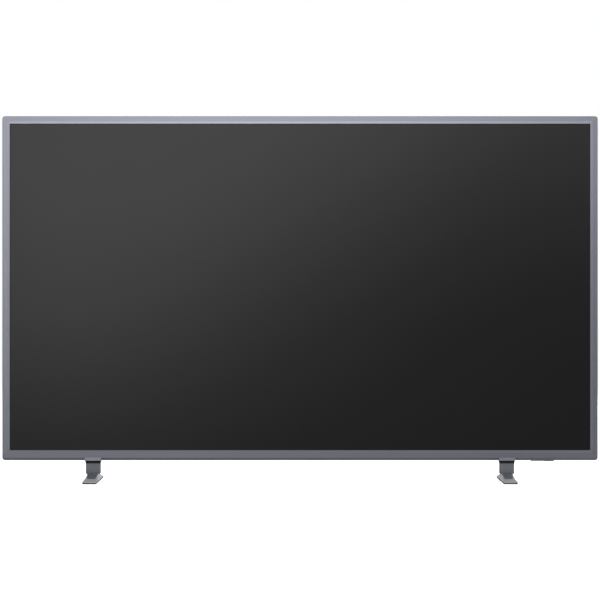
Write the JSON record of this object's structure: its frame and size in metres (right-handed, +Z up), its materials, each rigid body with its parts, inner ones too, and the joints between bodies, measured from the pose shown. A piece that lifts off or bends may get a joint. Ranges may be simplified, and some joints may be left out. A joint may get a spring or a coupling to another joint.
{
  "type": "flat screen television",
  "caption": "Flat screen television with a slim silver-grey metal bezel, dark satin screen, moulded back with a wall mount pattern and short splayed bar feet.",
  "frame": {"origin": "on the floor, under the middle of the set, midway between the feet", "axes": "+X to the right seen from the front, along the width; +Y to the back, so the screen faces -Y; +Z up"},
  "size_m": [1.241, 0.222, 0.76],
  "materials": {
    "bezel_aluminium": "satin silver grey",
    "screen_glass": "satin antiglare",
    "sensor_window": "smoked",
    "foot_silver": "satin polished",
    "collar_grey": "satin anodised",
    "foot_grey": "dark satin grey",
    "foot_socket_black": "black",
    "foot_rubber": "soft black",
    "cover_plastic": "spark eroded black",
    "housing_plastic": "fine textured black",
    "grille_plastic": "black",
    "key_plastic": "half gloss black",
    "key_cap_plastic": "dark grey",
    "socket_steel": "nickel plated",
    "socket_plastic": "black",
    "zinc_steel": "zinc plated",
    "screw_steel": "black zinc",
    "sink_aluminium": "extruded",
    "foam": "black foam",
    "frame_plastic": "black",
    "optical_film": "milky",
    "clear_acrylic": "clear",
    "white_film": "white",
    "circuit_board": "solder mask green",
    "led_white": "white",
    "ribbon_film": "amber",
    "component_mix": "varnished",
    "speaker_plastic": "black"
  },
  "bodies": {
    "set": {"antenna_socket": "socket_steel", "backlight_chassis": "zinc_steel", "bezel_bottom": "bezel_aluminium", "bezel_corner_keys": "zinc_steel", "bezel_left": "bezel_aluminium", "bezel_right": "bezel_aluminium", "bezel_top": "bezel_aluminium", "board_standoffs": "zinc_steel", "cover_screws": "screw_steel", "diffuser_sheet": "optical_film", "electronics_housing": "housing_plastic", "foot_base_left": "foot_silver", "foot_base_right": "foot_silver", "foot_collars": "collar_grey", "foot_neck_left": "foot_grey", "foot_neck_right": "foot_grey", "foot_screws": "screw_steel", "foot_sockets": "foot_socket_black", "foot_soles": "foot_rubber", "hdmi_sockets": "socket_steel", "headphone_socket": "socket_plastic", "ir_window": "sensor_window", "key_board": "circuit_board", "key_holder": "key_plastic", "lan_socket": "socket_steel", "lcd_cell": "screen_glass", "led_bars": "led_white", "led_heat_spreader": "sink_aluminium", "light_guide_plate": "clear_acrylic", "main_board": "circuit_board", "main_heat_sink": "sink_aluminium", "mains_inlet": "socket_plastic", "middle_frame": "frame_plastic", "panel_gasket": "foam", "panel_ribbons": "ribbon_film", "power_board": "circuit_board", "power_components": "component_mix", "prism_sheet": "optical_film", "rear_cover": "cover_plastic", "reflector_sheet": "white_film", "sensor_board": "circuit_board", "source_boards": "circuit_board", "speaker_box_left": "speaker_plastic", "speaker_box_right": "speaker_plastic", "speaker_drivers": "speaker_plastic", "speaker_grilles": "grille_plastic", "stand_brackets": "zinc_steel", "terminal_panel": "zinc_steel", "timing_board": "circuit_board", "usb_sockets": "socket_steel", "vent_grille_lower": "grille_plastic", "vent_grille_upper": "grille_plastic", "wall_mount_posts": "zinc_steel"},
    "power_key_cap": {"power_key": "key_cap_plastic"},
    "source_key_cap": {"source_key": "key_cap_plastic"},
    "menu_key_cap": {"menu_key": "key_cap_plastic"},
    "channel_up_key_cap": {"channel_up_key": "key_cap_plastic"},
    "channel_down_key_cap": {"channel_down_key": "key_cap_plastic"},
    "volume_up_key_cap": {"volume_up_key": "key_cap_plastic"},
    "volume_down_key_cap": {"volume_down_key": "key_cap_plastic"}
  },
  "joints": [
    {"name": "power_key_press", "type": "slide", "parent": "set", "child": "power_key_cap", "axis": [0, -1, 0], "range_m": [0, 0.0008], "stiffness_N_per_m": 1500, "springref_m": -0.0003},
    {"name": "source_key_press", "type": "slide", "parent": "set", "child": "source_key_cap", "axis": [0, -1, 0], "range_m": [0, 0.0008], "stiffness_N_per_m": 1500, "springref_m": -0.0003},
    {"name": "menu_key_press", "type": "slide", "parent": "set", "child": "menu_key_cap", "axis": [0, -1, 0], "range_m": [0, 0.0008], "stiffness_N_per_m": 1500, "springref_m": -0.0003},
    {"name": "channel_up_key_press", "type": "slide", "parent": "set", "child": "channel_up_key_cap", "axis": [0, -1, 0], "range_m": [0, 0.0008], "stiffness_N_per_m": 1500, "springref_m": -0.0003},
    {"name": "channel_down_key_press", "type": "slide", "parent": "set", "child": "channel_down_key_cap", "axis": [0, -1, 0], "range_m": [0, 0.0008], "stiffness_N_per_m": 1500, "springref_m": -0.0003},
    {"name": "volume_up_key_press", "type": "slide", "parent": "set", "child": "volume_up_key_cap", "axis": [0, -1, 0], "range_m": [0, 0.0008], "stiffness_N_per_m": 1500, "springref_m": -0.0003},
    {"name": "volume_down_key_press", "type": "slide", "parent": "set", "child": "volume_down_key_cap", "axis": [0, -1, 0], "range_m": [0, 0.0008], "stiffness_N_per_m": 1500, "springref_m": -0.0003}
  ]
}
